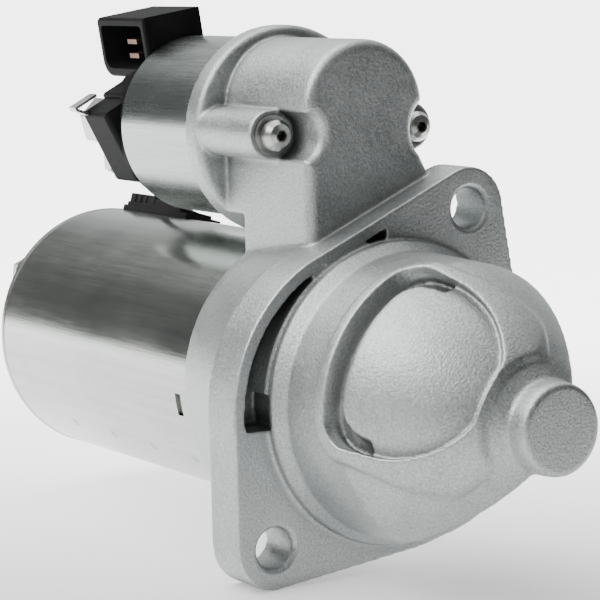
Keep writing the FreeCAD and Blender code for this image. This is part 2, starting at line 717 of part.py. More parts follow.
def shift_lever():
    upper = plate_xz(-2.2, 2.2, [(PIVOT_X - 3.6, PIVOT_Z + 3), (PIVOT_X + 4.4, PIVOT_Z + 3),
                                 (LEVER_TIP_X + 1.1, 67.0), (LEVER_TIP_X - 1.5, 67.0)])
    tip = cylinder_y(-2.2, 2.2, 2.4, LEVER_TIP_X, SOLENOID_Z)
    hub = cylinder_y(-8, 8, 6.2, PIVOT_X, PIVOT_Z)
    web = plate_xz(-7, 7, [(PIVOT_X - 4.5, PIVOT_Z - 2), (PIVOT_X + 4.0, PIVOT_Z - 2),
                           (PIVOT_X + 0.6, 26.0), (PIVOT_X - 4.2, 26.0)])
    yoke = plate_xz(-20.2, 20.2, [(PIVOT_X - 4.2, 25.5), (PIVOT_X + 0.6, 25.5),
                                  (PIVOT_X + 0.4, 21.5), (PIVOT_X - 4.4, 21.5)])
    parts = [upper, tip, hub, web, yoke]
    for side in (1, -1):
        inner, outer = sorted((side * 17.2, side * 20.2))
        parts.append(plate_xz(inner, outer, [(PIVOT_X - 4.2, 25.5), (PIVOT_X + 0.6, 25.5),
                                             (GROOVE_X + 2.2, 0.0), (GROOVE_X - 2.2, 0.0)]))
        parts.append(cylinder_y(inner, outer, 2.2, GROOVE_X, 0.0))
        pad_from, pad_to = sorted((side * 12.6, side * 18.0))
        parts.append(cylinder_y(pad_from, pad_to, 2.2, GROOVE_X, 0.0))
    return join(parts).cut(cylinder_y(-30, 30, PIVOT_R + RUNNING, PIVOT_X, PIVOT_Z))


def lever_pivot_pin():
    return cylinder_y(-18.8, 18.8, PIVOT_R, PIVOT_X, PIVOT_Z)


def plunger():
    body = turned([(-84.0, 0), (-84.0, 9.9), (-83.0, PLUNGER_R), (-62.5, PLUNGER_R), (-61.5, 9.9), (-61.5, 0)],
                  0, SOLENOID_Z)
    neck = cylinder(-62, -44, 5.5, 0, SOLENOID_Z)
    collar = cylinder(-46, -44.2, 13.6, 0, SOLENOID_Z)
    head = box(-45, -13.6, -5.2, 5.2, SOLENOID_Z - 4.5, SOLENOID_Z + 4.5)
    window = box(LEVER_TIP_X - 2.7, LEVER_TIP_X + 2.7, -2.8, 2.8, SOLENOID_Z - 8, SOLENOID_Z + 8)
    return join([body, neck, collar, head]).cut(window)


def plunger_spring():
    spring = helix_spring(12.4, 0.8, 11.2, 4)
    spring.rotate(Vector(0, 0, 0), Y_AXIS, 90)
    spring.translate(Vector(-58.2, 0, SOLENOID_Z))
    return spring


# ---------------------------------------------------------------- solenoid

def solenoid_can():
    can = turned([(-62.5, CAN_R), (CAN_REAR_X + 0.8, CAN_R), (CAN_REAR_X, CAN_R - 0.8), (CAN_REAR_X, 21.5),
                  (CAN_REAR_X + 2, 21.5), (CAN_REAR_X + 2, CAN_R - 2), (-62.5, CAN_R - 2)], 0, SOLENOID_Z)
    return can


def solenoid_front_plate():
    plate = tube(-62.5, DISC_REAR_X, CAN_R, PLUNGER_R + 0.1, 0, SOLENOID_Z)
    for side in (1, -1):
        plate = plate.cut(cylinder(-61.5, -58, 2.4, side * SCREW_Y, SCREW_Z))
    return plate


def solenoid_bobbin():
    outer = CAN_R - 2.3
    return turned([(-99.5, 11.1), (-99.5, outer), (-98, outer), (-98, 12.4), (-64.3, 12.4), (-64.3, outer),
                   (-62.8, outer), (-62.8, 11.1)], 0, SOLENOID_Z)


def solenoid_coil():
    return tube(-97.9, -64.4, CAN_R - 3.0, 12.5, 0, SOLENOID_Z)


def solenoid_core():
    return turned([(-91.5, 2.3), (-91.5, 10.8), (-99.6, 10.8), (-99.6, 21.0), (-101.4, 21.0), (-101.4, 2.3)],
                  0, SOLENOID_Z)


def block_frame(shape):
    """Place a shape drawn about the solenoid axis into the turned frame of the terminal block."""
    copy = shape.copy()
    copy.translate(Vector(0, 0, SOLENOID_Z))
    return turn_x(copy, BLOCK_TILT, 0, SOLENOID_Z)


def solenoid_cap():
    base = cylinder(-110, CAN_REAR_X, 24.4)
    base = round_edges(base, 1.5, edge_at_x(-110))
    drum = cylinder(-121.5, -109, 20.6)
    drum = round_edges(drum, 2.0, edge_at_x(-121.5))
    block = box(BLOCK_REAR_X, -107, -24.3, -2, -7.2, 17.0)
    block = round_edges(block, 1.6, lambda e: e.BoundBox.YMax < -24.2 or edge_at_x(BLOCK_REAR_X)(e))
    rib = box(BLOCK_REAR_X + 0.6, -108, -15.6, -6.0, 10.0, 18.6)
    rib = round_edges(rib, 1.2, lambda e: e.BoundBox.ZMin > 18.5)
    chamber = cylinder(-120.0, CAN_REAR_X + 1, 15.5)
    body = join([base, drum, block, rib]).cut(chamber)
    for (y, z), radius, half in terminals():
        body = body.cut(cylinder(-130, -110, radius, y, z))
        body = body.cut(box(-120.0, -117.0, y - half - 0.2, 0, z - half - 0.2, z + half + 0.2))
    body = block_frame(body).fuse(hood_outside())
    body = body.cut(hood_frame(hood_socket()))
    body = cut_all(body, signal_blades() + [terminal_tab()])
    return body.removeSplitter()


def hood_frame(shape):
    return turn_x(shape, HOOD_TILT, -6.0, 90.0)


def hood_outside():
    hood = box(-134.0, -104.2, -15.5, 4.0, HOOD_BOTTOM_Z, HOOD_TOP_Z)
    hood = round_edges(hood, 5.0, lambda e: e.BoundBox.XMax < -133.9 and e.BoundBox.ZMax < HOOD_BOTTOM_Z + 0.1)
    hood = round_edges(hood, 1.9, lambda e: e.BoundBox.XMax < -110 and e.BoundBox.ZMin > HOOD_TOP_Z - 0.1)
    hood = round_edges(hood, 1.0, lambda e: e.BoundBox.YMax < -15.4)
    stem = box(-118.0, -104.2, -12.0, 3.0, 72.0, 86.0)
    stem = stem.cut(cylinder(-121, -103, 15.6, 0, SOLENOID_Z))
    return hood_frame(hood).fuse(stem)


def hood_socket():
    """Room for the plug, drawn before the hood is tilted."""
    socket = box(-131.6, -106.6, -20.0, 1.5, HOOD_BOTTOM_Z + 2.6, HOOD_TOP_Z - 2.4)
    rear_low = lambda e: e.BoundBox.XMax < -131.5 and e.BoundBox.ZMax < HOOD_BOTTOM_Z + 2.7
    along = lambda e: e.BoundBox.YLength > 15
    socket = round_edges(socket, 3.2, lambda e: along(e) and rear_low(e))
    return round_edges(socket, 1.5, lambda e: along(e) and e.BoundBox.ZMin > HOOD_TOP_Z - 2.5)


def signal_blades():
    return [hood_frame(box(-122.0, -116.4, -12.2, 3.0, z - 0.7, z + 0.7)) for z in BLADE_Z]


def socket_seal():
    low, high = HOOD_BOTTOM_Z + 3.2, HOOD_TOP_Z - 3.0
    ring = box(-131.0, -107.2, -2.2, 1.4, low, high)
    ring = round_edges(ring, 3.0, lambda e: e.BoundBox.XMax < -130.9 and e.BoundBox.YLength > 3
                       and e.BoundBox.ZMax < low + 0.1)
    ring = ring.cut(box(-129.0, -109.2, -3.0, 2.0, low + 1.8, high - 1.8))
    return hood_frame(ring)


def terminals():
    """Place, radius and half height of the contact plate of each stud."""
    return [(BATTERY_STUD, BATTERY_STUD_R, 3.9), (MOTOR_STUD, MOTOR_STUD_R, 2.5)]


def terminal(stud, radius, half, thread_x, end_x):
    """Stud with its contact plate inside the cap; a groove marks the end of the nut's thread."""
    y, z = stud
    rod = turned([(end_x, 0), (end_x, radius - 0.8), (end_x + 0.8, radius), (thread_x - 0.5, radius),
                  (thread_x - 0.5, radius - 0.4), (thread_x, radius - 0.4), (thread_x, radius),
                  (-117.5, radius), (-117.5, 0)], y, z)
    plate = box(-119.6, -117.6, y - half, -4.0, z - half, z + half)
    return block_frame(join([rod, plate]))


def terminal_nuts():
    by, bz = BATTERY_STUD
    my, mz = MOTOR_STUD
    nuts = [
        hexagon(-130.5, -124.0, 13.0, by, bz, 0.3).cut(cylinder(-135, -120, BATTERY_STUD_R, by, bz)),
        hexagon(-130.2, -126.2, 8.0, my, mz, 0.1).cut(cylinder(-135, -120, MOTOR_STUD_R, my, mz)),
    ]
    return [block_frame(nut) for nut in nuts]


def terminal_washers():
    by, bz = BATTERY_STUD
    my, mz = MOTOR_STUD
    washers = [
        tube(-124.0, BLOCK_REAR_X, 7.4, BATTERY_STUD_R, by, bz),
        tube(-126.2, -125.0, 4.4, MOTOR_STUD_R, my, mz),
    ]
    return [block_frame(washer) for washer in washers]


def terminal_tab():
    """Spring contact that stands off the block, held by its bent foot."""
    return block_frame(plate_yz(-121.6, -117.6, [
        (-27.2, 20.5), (-19.0, 20.5), (-19.0, 19.7), (-26.4, 19.7), (-22.6, 15.6), (-23.2, 15.0),
        (-27.2, 19.2)]))


def bent_rod(points, bend_r, rod_r):
    """Round rod through the points with an arc of bend_r at each corner."""
    corners = [Vector(*p) for p in points]
    pieces = []
    start = corners[0]

    def straight(a, b):
        return Part.makeCylinder(rod_r, (b - a).Length, a, b - a)

    for before, corner, after in zip(corners, corners[1:], corners[2:]):
        back = (before - corner).normalize()
        ahead = (after - corner).normalize()
        half = back.getAngle(ahead) / 2
        first = corner + back * (bend_r / math.tan(half))
        last = corner + ahead * (bend_r / math.tan(half))
        centre = corner + (back + ahead).normalize() * (bend_r / math.sin(half))
        pieces.append(straight(start, first))
        section = Part.Face(Part.Wire(Part.makeCircle(rod_r, first, back)))
        pieces.append(section.revolve(centre, ahead.cross(back), 180 - math.degrees(2 * half)))
        start = last
    pieces.append(straight(start, corners[-1]))
    return join(pieces)


def motor_lead():
    """Lead from the motor stud round behind the cap and down through the boot into the tube."""
    y, z = MOTOR_STUD
    eye = block_frame(tube(-125.0, BLOCK_REAR_X, 4.8, MOTOR_STUD_R, y, z))
    centre = eye.BoundBox.Center
    barrel = cylinder_y(centre.y + 4.5, centre.y + 10.5, 2.3, -124.6, centre.z)
    barrel = barrel.cut(block_frame(cylinder(-128, -125, 4.6, y, z)))
    wire = bent_rod([(-124.6, centre.y + 6.5, centre.z), (-124.6, LEAD_Y, centre.z),
                     (LEAD_X, LEAD_Y, centre.z), (LEAD_X, LEAD_Y, 28.0)], 5.0, LEAD_R)
    return join([eye, barrel, wire])


def lead_grommet():
    """Rubber boot that lies on the tube and closes its lead slot."""
    rear, front = LEAD_X - 13.5, LEAD_X + 27.0
    base = box(rear, front, -6.0, 6.6, 30.0, 39.4)
    lip = box(rear + 1.5, front - 5, -5.6, 6.0, 30.0, 40.6)
    boot = box(rear + 2.0, LEAD_X + 4.0, -5.2, 5.8, 30.0, 43.4)
    ramp = plate_xz(-5.0, 5.4, [(LEAD_X + 2, 30.0), (LEAD_X + 2, 42.8), (LEAD_X + 7, 42.2),
                                (LEAD_X + 20, 40.2), (LEAD_X + 20, 30.0)])
    ribs = [box(rear + 4.0 + 3.6 * i, rear + 5.6 + 3.6 * i, -5.5, 6.1, 30.0, 42.8) for i in range(3)]
    plug = box(LEAD_X - 8.3, LEAD_X + 5.8, -5.0, 5.6, 31.0, 40.0)
    above = join([base, lip, boot, ramp] + ribs).cut(cylinder(rear - 1, front + 1, TUBE_R + 0.02))
    body = turn_x(above.fuse(plug).removeSplitter(), LEAD_TURN)
    hole = Part.makeCylinder(LEAD_R, 40, Vector(LEAD_X, LEAD_Y, 20), Z_AXIS)
    return body.cut(hole)


def solenoid_screws():
    screws = []
    for side in (1, -1):
        y = side * SCREW_Y
        shank = cylinder(-61.4, SCREW_SEAT_X, 2.4, y, SCREW_Z)
        washer = cylinder(SCREW_SEAT_X, SCREW_SEAT_X + 1.2, 5.4, y, SCREW_Z)
        head = turned([(SCREW_SEAT_X + 1, 0), (SCREW_SEAT_X + 1, 4.3), (SCREW_SEAT_X + 3.4, 4.2),
                       (SCREW_SEAT_X + 4.8, 3.2), (SCREW_SEAT_X + 5.4, 1.8), (SCREW_SEAT_X + 5.4, 0)], y, SCREW_Z)
        recess = hexagon(SCREW_SEAT_X + 2.6, SCREW_SEAT_X + 7, 2.6, y, SCREW_Z)
        screws.append(join([shank, washer, head]).cut(recess))
    return screws


def nodes():
    named = {
        "drive_end_housing": drive_end_housing(),
        "motor_frame": motor_frame(),
        "rear_end_cap": rear_end_cap(),
        "through_bolts": through_bolts(),
        "permanent_magnets": permanent_magnets(),
        "rear_bush": tube(-170.3, -161.0, 8.0, SHAFT_R + RUNNING),
        "centre_bush": tube(-42.6, -33.0, 10.0, OUTPUT_R + RUNNING),
        "nose_bush": tube(53.8, 68.5, 8.6, JOURNAL_R + RUNNING),
        "brush_holder": brush_holder(),
        "brushes": brushes(),
        "brush_springs": brush_springs(),
        "gear_partition": gear_partition(),
        "ring_gear": ring_gear(),
        "centre_plate": centre_plate(),
        "lever_pivot_pin": lever_pivot_pin(),
        "solenoid_can": solenoid_can(),
        "solenoid_front_plate": solenoid_front_plate(),
        "solenoid_bobbin": solenoid_bobbin(),
        "solenoid_coil": solenoid_coil(),
        "solenoid_core": solenoid_core(),
        "solenoid_cap": solenoid_cap(),
        "signal_blades": signal_blades(),
        "socket_seal": socket_seal(),
        "battery_terminal": terminal(*terminals()[0], -130.5, -134.5),
        "motor_terminal": terminal(*terminals()[1], -130.2, -132.5),
        "terminal_nuts": terminal_nuts(),
        "terminal_washers": terminal_washers(),
        "terminal_tab": terminal_tab(),
        "motor_lead": motor_lead(),
        "lead_grommet": lead_grommet(),
        "solenoid_screws": solenoid_screws(),
        "armature_shaft": armature_shaft(),
        "armature_core": armature_core(),
        "armature_windings": armature_windings(),
        "commutator": commutator(),
        "sun_gear": sun_gear(),
        "output_shaft": output_shaft(),
        "planet_pins": planet_pins(),
        "stop_collar": stop_collar(),
        "clutch_body": clutch_body(),
        "clutch_cover": clutch_cover(),
        "clutch_rollers": clutch_rollers(),
        "pinion": pinion(),
        "shift_lever": shift_lever(),
        "plunger": plunger(),
        "contact_rod": cylinder(-113.0, -84.0, 2.0, 0, SOLENOID_Z),
        "contact_disc": tube(-110.4, -108.6, 11.5, 2.0, 0, SOLENOID_Z),
        "plunger_spring": plunger_spring(),
    }
    for index in range(PLANET_COUNT):
        named[f"planet_gear_{index + 1}"] = planet_gear(index)
    return named


def main():
    os.makedirs("parts", exist_ok=True)
    for name, shape in nodes().items():
        if isinstance(shape, list):
            shape = Part.makeCompound(shape)
        shape.exportStep(f"parts/{name}.step")
        valid = shape.isValid()
        print(f"{name:22s} solids {len(shape.Solids)} volume {shape.Volume:10.1f} valid {valid}")


main()
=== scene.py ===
"""Looks of the starter motor: camera, studio, finishes, and the softened casting that replaces the
plain solid of the drive end housing. Metres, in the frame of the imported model."""

import math

import bmesh
import bpy
from mathutils import Matrix, Vector
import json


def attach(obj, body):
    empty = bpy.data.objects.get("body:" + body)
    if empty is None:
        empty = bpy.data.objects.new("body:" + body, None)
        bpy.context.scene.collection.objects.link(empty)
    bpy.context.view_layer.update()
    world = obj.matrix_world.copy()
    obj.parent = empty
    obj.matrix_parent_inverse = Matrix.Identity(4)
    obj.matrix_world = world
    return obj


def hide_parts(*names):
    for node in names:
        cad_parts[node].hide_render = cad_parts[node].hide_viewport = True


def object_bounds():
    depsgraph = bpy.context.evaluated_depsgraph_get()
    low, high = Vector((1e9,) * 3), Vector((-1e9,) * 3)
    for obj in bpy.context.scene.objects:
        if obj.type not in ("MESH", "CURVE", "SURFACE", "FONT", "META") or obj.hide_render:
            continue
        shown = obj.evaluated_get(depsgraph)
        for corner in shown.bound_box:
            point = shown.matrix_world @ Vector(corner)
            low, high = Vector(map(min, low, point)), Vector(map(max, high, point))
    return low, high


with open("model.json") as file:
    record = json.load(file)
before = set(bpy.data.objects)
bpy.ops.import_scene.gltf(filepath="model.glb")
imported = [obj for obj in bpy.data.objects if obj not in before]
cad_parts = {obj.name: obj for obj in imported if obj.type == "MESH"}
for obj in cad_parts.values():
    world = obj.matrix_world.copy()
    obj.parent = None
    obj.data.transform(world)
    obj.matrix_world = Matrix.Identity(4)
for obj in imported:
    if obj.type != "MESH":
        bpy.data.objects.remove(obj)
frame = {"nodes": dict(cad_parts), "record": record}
nodes = frame["nodes"]
cad_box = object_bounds()


# ---------------------------------------------------------------- camera

AZIMUTH = math.radians(57.85)
ELEVATION = math.radians(7.68)
ROLL = math.radians(-1.34)
DISTANCE = 0.67875
AIM_RIGHT = -0.02602
AIM_UP = 0.0249
FOCAL = 151.33


def add_camera():
    back = Vector((math.sin(AZIMUTH) * math.cos(ELEVATION),
                   -math.cos(AZIMUTH) * math.cos(ELEVATION), math.sin(ELEVATION)))
    right = Vector((math.cos(AZIMUTH), math.sin(AZIMUTH), 0.0))
    up = back.cross(right)
    right_rolled = math.cos(ROLL) * right + math.sin(ROLL) * up
    up_rolled = -math.sin(ROLL) * right + math.cos(ROLL) * up
    place = back * DISTANCE + right_rolled * AIM_RIGHT + up_rolled * AIM_UP
    data = bpy.data.cameras.new("camera")
    data.sensor_width = 36.0
    data.lens = FOCAL
    data.clip_start = 0.01
    data.clip_end = 50.0
    camera = bpy.data.objects.new("camera", data)
    turn = Matrix((right_rolled, up_rolled, back)).transposed().to_4x4()
    camera.matrix_world = Matrix.Translation(place) @ turn
    bpy.context.scene.collection.objects.link(camera)
    bpy.context.scene.camera = camera


# ---------------------------------------------------------------- node helpers

class Shader:
    """Small wrapper that adds and links nodes of one material."""

    def __init__(self, name):
        self.material = bpy.data.materials.new(name)
        self.material.use_nodes = True
        self.tree = self.material.node_tree
        self.tree.nodes.clear()
        self.out = self.add("ShaderNodeOutputMaterial")
        self.bsdf = self.add("ShaderNodeBsdfPrincipled")
        self.link(self.bsdf.outputs["BSDF"], self.out.inputs["Surface"])
        self.place = self.add("ShaderNodeTexCoord").outputs["Object"]

    def add(self, kind, **settings):
        node = self.tree.nodes.new(kind)
        for key, value in settings.items():
            setattr(node, key, value)
        return node

    def link(self, source, target):
        self.tree.links.new(source, target)

    def put(self, socket, value):
        """Link a socket to an output, or set it to a constant."""
        if isinstance(value, bpy.types.NodeSocket):
            self.link(value, socket)
        else:
            socket.default_value = value

    def stretched(self, sx, sy, sz):
        mapping = self.add("ShaderNodeMapping")
        mapping.inputs["Scale"].default_value = (sx, sy, sz)
        self.link(self.place, mapping.inputs["Vector"])
        return mapping.outputs["Vector"]

    def noise(self, scale, detail=3.0, rough=0.55, vector=None, distortion=0.0):
        node = self.add("ShaderNodeTexNoise")
        node.inputs["Scale"].default_value = scale
        node.inputs["Detail"].default_value = detail
        node.inputs["Roughness"].default_value = rough
        node.inputs["Distortion"].default_value = distortion
        self.link(vector or self.place, node.inputs["Vector"])
        return node.outputs["Fac"]

    def cells(self, scale, vector=None):
        node = self.add("ShaderNodeTexVoronoi")
        node.inputs["Scale"].default_value = scale
        self.link(vector or self.place, node.inputs["Vector"])
        return node.outputs["Distance"]

    def spread(self, value, low, high, to_low=0.0, to_high=1.0):
        node = self.add("ShaderNodeMapRange")
        self.put(node.inputs["Value"], value)
        node.inputs["From Min"].default_value = low
        node.inputs["From Max"].default_value = high
        node.inputs["To Min"].default_value = to_low
        node.inputs["To Max"].default_value = to_high
        return node.outputs["Result"]

    def math(self, operation, a, b=0.0):
        node = self.add("ShaderNodeMath", operation=operation)
        self.put(node.inputs[0], a)
        self.put(node.inputs[1], b)
        return node.outputs["Value"]

    def mix(self, factor, a, b, blend="MIX"):
        node = self.add("ShaderNodeMix", data_type="RGBA", blend_type=blend)
        self.put(node.inputs["Factor"], factor)
        self.put(node.inputs["A"], a)
        self.put(node.inputs["B"], b)
        return node.outputs["Result"]

    def bump(self, height, distance, strength=1.0, normal=None):
        node = self.add("ShaderNodeBump")
        node.inputs["Strength"].default_value = strength
        node.inputs["Distance"].default_value = distance
        self.link(height, node.inputs["Height"])
        if normal:
            self.link(normal, node.inputs["Normal"])
        return node.outputs["Normal"]

    def crevice(self, distance):
        node = self.add("ShaderNodeAmbientOcclusion")
        node.inputs["Distance"].default_value = distance
        return node.outputs["AO"]

    def pointiness(self):
        return self.add("ShaderNodeNewGeometry").outputs["Pointiness"]

    def finish(self, color, roughness, metallic, normal=None, **constants):
        self.put(self.bsdf.inputs["Base Color"], color)
        self.put(self.bsdf.inputs["Roughness"], roughness)
        self.bsdf.inputs["Metallic"].default_value = metallic
        if normal:
            self.link(normal, self.bsdf.inputs["Normal"])
        for key, value in constants.items():
            self.bsdf.inputs[key.replace("_", " ")].default_value = value
        return self.material


def rgb(r, g, b):
    return (r, g, b, 1.0)


# ---------------------------------------------------------------- finishes

def cast_alloy():
    """Shot-blasted aluminium casting: fine grain, cloudy tone, painted shade in the corners, painted
    highlight and rubbed wear on the edges.
    """
    s = Shader("cast_alloy")
    grain = s.noise(1500.0, 4.0, 0.7)
    pits = s.cells(1100.0)
    cloud = s.noise(60.0, 4.0, 0.6)
    tone = s.mix(s.spread(cloud, 0.35, 0.65), rgb(0.345, 0.365, 0.365), rgb(0.44, 0.46, 0.46))
    tone = s.mix(s.spread(grain, 0.40, 0.72, 0.0, 0.75), tone, rgb(0.72, 0.74, 0.74))
    tone = s.mix(s.spread(s.noise(900.0, 3.0, 0.8), 0.55, 0.75, 0.0, 0.6), tone, rgb(0.20, 0.21, 0.21))
    # painted shade: colour darkened towards 0.19 where ambient occlusion finds corners and recesses
    shade = s.spread(s.crevice(0.005), 0.25, 0.95)
    tone = s.mix(s.math("SUBTRACT", 1.0, shade), tone, rgb(0.19, 0.195, 0.19))
    # painted highlight and rubbed wear: sharp convex edges (pointiness) lightened towards 0.85
    edge_highlight_and_wear = s.spread(s.pointiness(), 0.52, 0.60)
    tone = s.mix(s.math("MULTIPLY", edge_highlight_and_wear, 0.8), tone, rgb(0.85, 0.86, 0.86))
    rough = s.spread(s.math("ADD", cloud, s.math("MULTIPLY", grain, 0.5)), 0.5, 1.0, 0.36, 0.50)
    normal = s.bump(s.noise(220.0, 3.0, 0.5), 0.00025, 0.30)
    normal = s.bump(grain, 0.00018, 0.8, normal)
    normal = s.bump(pits, 0.00008, 0.5, normal)
    return s.finish(tone, rough, 0.9, normal)


def plated_steel(name, dark, light, rough_low, rough_high):
    """Drawn steel with a bright coating: lengthwise streaks, clouds and fine scratches."""
    s = Shader(name)
    along = s.noise(1.0, 5.0, 0.65, s.stretched(14.0, 420.0, 420.0))
    fine = s.noise(1.0, 3.0, 0.6, s.stretched(60.0, 2600.0, 2600.0))
    cloud = s.noise(26.0, 4.0, 0.6)
    mixed = s.math("ADD", s.math("MULTIPLY", along, 0.6), s.math("MULTIPLY", cloud, 0.5))
    tone = s.mix(s.spread(mixed, 0.35, 0.75), rgb(*dark), rgb(*light))
    # painted shade: colour darkened towards 0.12 in corners and recesses found by ambient occlusion
    shade = s.spread(s.crevice(0.003), 0.2, 0.9)
    tone = s.mix(s.math("SUBTRACT", 1.0, shade), tone, rgb(0.12, 0.12, 0.115))
    rough = s.spread(s.math("ADD", fine, cloud), 0.7, 1.3, rough_low, rough_high)
    normal = s.bump(along, 0.00006, 0.35)
    normal = s.bump(fine, 0.00002, 0.4, normal)
    return s.finish(tone, rough, 1.0, normal)


def machined(name, color, rough, ring_axis=True):
    """Turned or ground metal with fine tool marks and a film of oil."""
    s = Shader(name)
    marks = s.noise(1.0, 3.0, 0.6, s.stretched(2400.0, 160.0, 160.0) if ring_axis else None)
    smear = s.noise(90.0, 4.0, 0.6)
    light = tuple(min(1.0, 1.25 * c) for c in color)
    tone = s.mix(s.spread(smear, 0.3, 0.7), rgb(*color), rgb(*light))
    # painted shade: colour darkened towards 0.05 in corners and recesses found by ambient occlusion
    shade = s.spread(s.crevice(0.0025), 0.2, 0.9)
    tone = s.mix(s.math("SUBTRACT", 1.0, shade), tone, rgb(0.05, 0.05, 0.048))
    rough_node = s.spread(s.math("ADD", marks, smear), 0.6, 1.4, rough * 0.75, rough * 1.35)
    normal = s.bump(marks, 0.00003, 0.4)
    return s.finish(tone, rough_node, 1.0, normal)


def moulded(name, color, rough, grain=1400.0, depth=0.00005, shine=0.3):
    """Moulded plastic or rubber: fine skin and slight dust in random patches."""
    s = Shader(name)
    skin = s.noise(grain, 3.0, 0.6)
    cloud = s.noise(70.0, 4.0, 0.6)
    light = tuple(min(1.0, 1.7 * c + 0.006) for c in color)
    tone = s.mix(s.spread(cloud, 0.35, 0.75), rgb(*color), rgb(*light))
    dust = s.spread(s.noise(320.0, 5.0, 0.75), 0.6, 0.85, 0.0, 0.2)
    tone = s.mix(dust, tone, rgb(0.09, 0.09, 0.085))
    rough_node = s.spread(s.math("ADD", skin, cloud), 0.6, 1.4, rough - 0.08, rough + 0.1)
    normal = s.bump(skin, depth, 0.5)
    return s.finish(tone, rough_node, 0.0, normal, Specular_IOR_Level=shine)


def pale_floor():
    s = Shader("pale_floor")
    cloud = s.noise(3.0, 2.0, 0.5)
    tone = s.mix(cloud, rgb(0.88, 0.88, 0.88), rgb(0.92, 0.92, 0.92))
    # painted light: the floor glows, weakly (0.34) near the object and strongly (4.0) away from the
    # camera, so the far floor turns white
    away = s.add("ShaderNodeVectorMath", operation="DOT_PRODUCT")
    s.link(s.place, away.inputs[0])
    away.inputs[1].default_value = (-0.66, 0.75, 0.0)
    glow = s.spread(away.outputs["Value"], -0.05, 0.42, 0.34, 4.0)
    s.bsdf.inputs["Emission Color"].default_value = rgb(1.0, 1.0, 1.0)
    s.link(glow, s.bsdf.inputs["Emission Strength"])
    return s.finish(tone, 0.7, 0.0, s.bump(s.noise(600.0, 2.0, 0.5), 0.00005, 0.1))


def flag_cloth():
    s = Shader("flag_cloth")
    weave = s.noise(400.0, 3.0, 0.6)
    tone = s.mix(weave, rgb(0.02, 0.02, 0.02), rgb(0.035, 0.035, 0.035))
    return s.finish(tone, 0.9, 0.0, s.bump(weave, 0.0002, 0.3))


def make_finishes():
    return {
        "cast_alloy": cast_alloy(),
        "tube_paint": plated_steel("tube_steel", (0.40, 0.43, 0.41), (0.56, 0.58, 0.55), 0.16, 0.27),
        "can_paint": plated_steel("can_steel", (0.33, 0.36, 0.35), (0.45, 0.48, 0.47), 0.20, 0.30),
        "zinc_steel": machined("zinc_steel", (0.50, 0.51, 0.49), 0.30),
        "hard_steel": machined("hard_steel", (0.36, 0.36, 0.36), 0.32),
        "spring_steel": machined("spring_steel", (0.40, 0.40, 0.41), 0.35, False),
        "laminations": plated_steel("laminations", (0.16, 0.16, 0.17), (0.28, 0.28, 0.28), 0.45, 0.6),
        "ferrite": moulded("ferrite", (0.05, 0.05, 0.055), 0.6),
        "copper": machined("copper", (0.72, 0.34, 0.18), 0.3, False),
        "bronze": machined("bronze", (0.55, 0.38, 0.18), 0.42),
        "carbon": moulded("carbon", (0.02, 0.02, 0.02), 0.55),
        "black_plastic": moulded("black_plastic", (0.008, 0.008, 0.0085), 0.55, shine=0.06),
        "rubber": moulded("rubber", (0.009, 0.009, 0.009), 0.62, 900.0, 0.00008, 0.2),
        "dull_blades": machined("dull_blades", (0.20, 0.12, 0.10), 0.45, False),
        "seal_rubber": moulded("seal_rubber", (0.03, 0.20, 0.08), 0.5),
    }


# ---------------------------------------------------------------- studio

FLOOR_HALF = 12.0
STUDIO_AIM = (-0.04, 0.0, 0.01)
FLAG_RADIUS = 0.30
FLAG_HEIGHT = 0.40
FLAG_START = -8.0           # degrees round +Z from +X
FLAG_SWEEP = 98.0
FLAG_STEPS = 24

def add_area(name, place, aim, size_x, size_y, power):
    data = bpy.data.lights.new(name, "AREA")
    data.shape = "RECTANGLE"
    data.size = size_x
    data.size_y = size_y
    data.energy = power
    light = bpy.data.objects.new(name, data)
    light.location = place
    light.rotation_mode = "QUATERNION"
    light.rotation_quaternion = (Vector(aim) - Vector(place)).to_track_quat("-Z", "Y")
    light.visible_camera = False
    bpy.context.scene.collection.objects.link(light)
    return light


def add_sun(toward, strength, degrees):
    data = bpy.data.lights.new("broad_sky", "SUN")
    data.energy = strength
    data.angle = math.radians(degrees)
    light = bpy.data.objects.new("broad_sky", data)
    light.rotation_mode = "QUATERNION"
    light.rotation_quaternion = Vector(toward).to_track_quat("Z", "Y")
    bpy.context.scene.collection.objects.link(light)


def add_flag(floor_z):
    """Curved dark cloth beside the nose, out of the picture, that the faces turned to +X mirror."""
    vertices = []
    for i in range(FLAG_STEPS + 1):
        turn = math.radians(FLAG_START + FLAG_SWEEP * i / FLAG_STEPS)
        for z in (floor_z + 0.001, floor_z + FLAG_HEIGHT):
            vertices.append((FLAG_RADIUS * math.cos(turn), FLAG_RADIUS * math.sin(turn), z))
    faces = [(2 * i, 2 * i + 2, 2 * i + 3, 2 * i + 1) for i in range(FLAG_STEPS)]
    mesh = bpy.data.meshes.new("flag")
    mesh.from_pydata(vertices, [], faces)
    flag = bpy.data.objects.new("flag", mesh)
    mesh.materials.append(flag_cloth())
    flag.visible_camera = False
    bpy.context.scene.collection.objects.link(flag)


